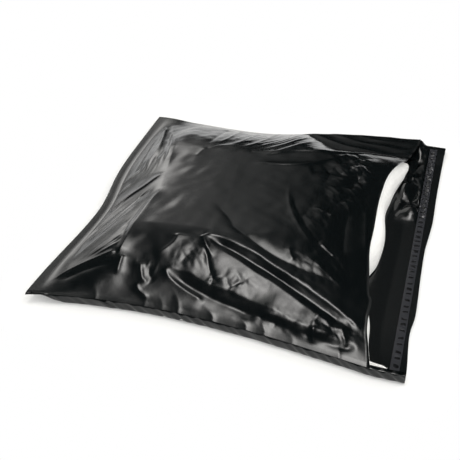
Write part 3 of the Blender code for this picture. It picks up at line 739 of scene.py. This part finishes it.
# The end that shows: Y and X in centimetres, near weld to far weld
PACK_END_LINE = (
    (-25.0, 20.4), (-23.6, 20.1), (-22.0, 19.8), (-19.0, 19.5), (-16.8, 18.9), (-14.8, 18.2), (-12.0, 17.3),
    (-9.2, 17.9), (-6.4, 18.7), (-1.1, 19.0), (3.4, 18.4), (6.2, 18.2), (8.9, 18.5), (11.7, 18.8),
    (14.8, 19.4), (17.0, 19.9), (18.6, 20.1), (20.0, 20.1), (21.2, 19.2), (23.0, 16.5),
)
pack_end = edge_line(PACK_END_LINE)

# White wrapper film, blown with filler in it: matt, with soft creases about 8 mm by 16 mm along the mouth
pack_finish, tree, out = new_material("white_wrapper_film")
place = node(tree, "ShaderNodeTexCoord")
stretched = node(
    tree, "ShaderNodeVectorMath", {0: place.outputs["Object"], 1: (1.0, 0.5, 1.0)}, operation="MULTIPLY"
)
creases = node(
    tree,
    "ShaderNodeTexNoise",
    {"Vector": stretched.outputs[0], "Scale": 1.0 / 0.008, "Detail": 2.0, "Distortion": 1.0},
)
soft = node(tree, "ShaderNodeBump", {"Height": creases.outputs["Fac"], "Strength": 0.60, "Distance": 0.002})
surface = node(
    tree,
    "ShaderNodeBsdfPrincipled",
    {"Base Color": colour("#f1f0ec"), "Roughness": 0.55, "Normal": soft.outputs["Normal"]},
)
tree.links.new(surface.outputs["BSDF"], out.inputs["Surface"])

# The rows of the grid lie closer together towards the end that shows
s = (1.0 - (1.0 - np.linspace(0.0, 1.0, 120)) ** 2)[:, None]
y = np.linspace(0.0, 1.0, 180)[None, :] * (PACK_FAR - PACK_NEAR) + PACK_NEAR
y = np.repeat(y, len(s), axis=0)
x = PACK_START + s * (pack_end(y) - PACK_START)
depth = np.clip((pack_end(y) - x) / PACK_ROUND, 0.0, 1.0)
rounded = np.sqrt(1.0 - (1.0 - depth) ** 2)
from_side = np.clip(np.minimum(y - PACK_NEAR, PACK_FAR - y) / PACK_SIDE_ROUND, 0.0, 1.0)
side = np.sqrt(1.0 - (1.0 - from_side) ** 2)
roof = front_height(np.minimum(x, lip(y)), y) - UNDER_FRONT
floor = back_height(x, y) + OVER_BACK
top = floor + OVER_BACK + (roof - floor - OVER_BACK) * rounded * side
pack = skin("soft_pack_skin", np.stack((x, y, top), -1), pack_finish)
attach(pack, "root")
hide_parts("soft_pack")

# Corner of the wrapper.
# The same white film, thin and flat. It is a part of the wrapper, and lies out on the flap at the near end
# of the mouth.

# Its two long edges: X and Y in centimetres
corner_near = edge_line(((17.0, -25.9), (20.5, -26.15), (22.2, -26.25), (23.8, -26.4)))
corner_far = edge_line(((17.0, -24.5), (20.5, -24.8), (22.4, -25.2), (23.8, -26.3)))
x = np.linspace(0.180, 0.238, 40)[:, None] * np.ones((1, 12))
t = np.linspace(0.0, 1.0, 12)[None, :]
y = corner_near(x) + t * (corner_far(x) - corner_near(x))
# It comes down from the near wall to the flap
z = 0.0030 + 0.0080 * (1.0 - t) ** 1.5 + 0.0004 * waves(x, y, 0.014, 61)
corner = skin("soft_pack_corner", np.stack((x, y, z), -1), pack_finish)
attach(corner, "root")
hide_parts("soft_pack")

# Studio.
# A white floor that keeps the bag's shadow close to it, a low soft lamp behind on the left, another overhead
# and a faint one between them. The lamps are mesh sheets that glow.

FLOOR_HALF = 8.0
BAG_HALF = (0.252, 0.270, 0.0)      # half the bag's length and width
SHADE_REACH = 0.055                 # how far from the bag its shade shows on the floor

# White paper, matt. Away from the bag, the camera and the bag's gloss see it plain white.
floor_finish, tree, out = new_material("studio_floor")
path = node(tree, "ShaderNodeLightPath")
seen = path.outputs["Is Camera Ray"]
for ray in ("Is Glossy Ray", "Is Transmission Ray"):
    seen = node(tree, "ShaderNodeMath", {0: seen, 1: path.outputs[ray]}, operation="MAXIMUM").outputs[0]
place = node(tree, "ShaderNodeTexCoord")
# How far outside the bag's outline a point lies: the floor shows its shade only close to the bag
off = node(tree, "ShaderNodeVectorMath", {0: place.outputs["Object"]}, operation="ABSOLUTE")
off = node(tree, "ShaderNodeVectorMath", {0: off.outputs[0], 1: BAG_HALF}, operation="SUBTRACT")
off = node(tree, "ShaderNodeVectorMath", {0: off.outputs[0]}, operation="MAXIMUM")
away = node(tree, "ShaderNodeVectorMath", {0: off.outputs[0]}, operation="LENGTH")
spread = node(
    tree,
    "ShaderNodeMapRange",
    {"Value": away.outputs["Value"], "From Min": 0.0, "From Max": SHADE_REACH, "To Min": 0.10, "To Max": 1.0},
    interpolation_type="SMOOTHSTEP",
)
share = node(tree, "ShaderNodeMath", {0: seen, 1: spread.outputs["Result"]}, operation="MULTIPLY")
matt = node(tree, "ShaderNodeBsdfDiffuse", {"Color": colour("#eaeae8")})
bright = node(tree, "ShaderNodeEmission", {"Color": colour("#ffffff"), "Strength": 1.0})
mixed = node(tree, "ShaderNodeMixShader", {0: share.outputs[0], 1: matt.outputs[0], 2: bright.outputs[0]})
tree.links.new(mixed.outputs[0], out.inputs["Surface"])


def sheet(name, wide, high, finish):
    """A flat sheet round its origin, for the floor or a lamp. wide and high are half its sides."""
    mesh = bpy.data.meshes.new(name)
    corners = [(-wide, -high, 0), (wide, -high, 0), (wide, high, 0), (-wide, high, 0)]
    mesh.from_pydata(corners, [], [(0, 1, 2, 3)])
    mesh.materials.append(finish)
    made = bpy.data.objects.new(name, mesh)
    bpy.context.scene.collection.objects.link(made)
    return made


sheet("studio_floor", FLOOR_HALF, FLOOR_HALF, floor_finish)

# The room lights the bag evenly. It is dark in the gloss of the film, and white to the camera.
world = bpy.data.worlds.new("studio")
bpy.context.scene.world = world
world.use_nodes = True
tree = world.node_tree
tree.nodes.clear()
path = node(tree, "ShaderNodeLightPath")
room = node(tree, "ShaderNodeBackground", {"Color": colour("#ffffff"), "Strength": 1.40})
dark = node(tree, "ShaderNodeBackground", {"Color": colour("#ffffff"), "Strength": 0.02})
white = node(tree, "ShaderNodeBackground", {"Color": colour("#ffffff"), "Strength": 1.0})
mirrored = node(
    tree, "ShaderNodeMixShader", {0: path.outputs["Is Glossy Ray"], 1: room.outputs[0], 2: dark.outputs[0]}
)
shown = node(
    tree,
    "ShaderNodeMixShader",
    {0: path.outputs["Is Camera Ray"], 1: mirrored.outputs[0], 2: white.outputs[0]},
)
node(tree, "ShaderNodeOutputWorld", {"Surface": shown.outputs[0]})


def softbox(name, azimuth, elevation, distance, reach, radiance):
    """A round lamp with soft edges that points at the bag. Azimuth is from +Y towards -X, in degrees.

    reach is the angle, seen from the bag, over which it fades to a third, along and up.
    """
    a, e = np.radians(azimuth), np.radians(elevation)
    towards = Vector((-np.sin(a) * np.cos(e), np.cos(a) * np.cos(e), np.sin(e)))
    wide, high = (distance * np.tan(np.radians(2.0 * r)) for r in reach)
    finish, tree, out = new_material(name)
    place = node(tree, "ShaderNodeTexCoord")
    span = (2.0 / wide, 2.0 / high, 0.0)
    spot = node(tree, "ShaderNodeVectorMath", {0: place.outputs["Object"], 1: span}, operation="MULTIPLY")
    far = node(
        tree, "ShaderNodeVectorMath", {0: spot.outputs[0], 1: spot.outputs[0]}, operation="DOT_PRODUCT"
    )
    fade = node(tree, "ShaderNodeMath", {0: float(np.exp(-1.0)), 1: far.outputs["Value"]}, operation="POWER")
    level = node(tree, "ShaderNodeMath", {0: fade.outputs[0], 1: radiance}, operation="MULTIPLY")
    glow = node(tree, "ShaderNodeEmission", {"Color": colour("#fffdfa"), "Strength": level.outputs[0]})
    tree.links.new(glow.outputs[0], out.inputs["Surface"])
    lamp = sheet(name, wide, high, finish)
    lamp.location = towards * distance
    lamp.rotation_euler = towards.to_track_quat("Z", "Y").to_euler()
    lamp.visible_camera = False


softbox("key_softbox", 42.0, 22.0, 4.0, (13.0, 12.0), 4.6)
softbox("top_softbox", 98.0, 84.5, 4.0, (14.0, 7.0), 12.0)
softbox("fill_softbox", 28.0, 42.0, 4.0, (15.0, 18.0), 0.6)

# Camera.
# At the photograph's viewing angle, which is 33 degrees across, from above the near end of the mouth.

lens = bpy.data.cameras.new("camera")
lens.lens = 61.04
lens.sensor_width = 36.0
camera = bpy.data.objects.new("camera", lens)
camera.location = (0.2251, -0.9255, 0.7140)
target = Vector((-0.0376, -0.0415, 0.0))
camera.rotation_euler = (camera.location - target).to_track_quat("Z", "Y").to_euler()
bpy.context.scene.collection.objects.link(camera)
bpy.context.scene.camera = camera
bpy.context.scene.view_settings.view_transform = "Standard"
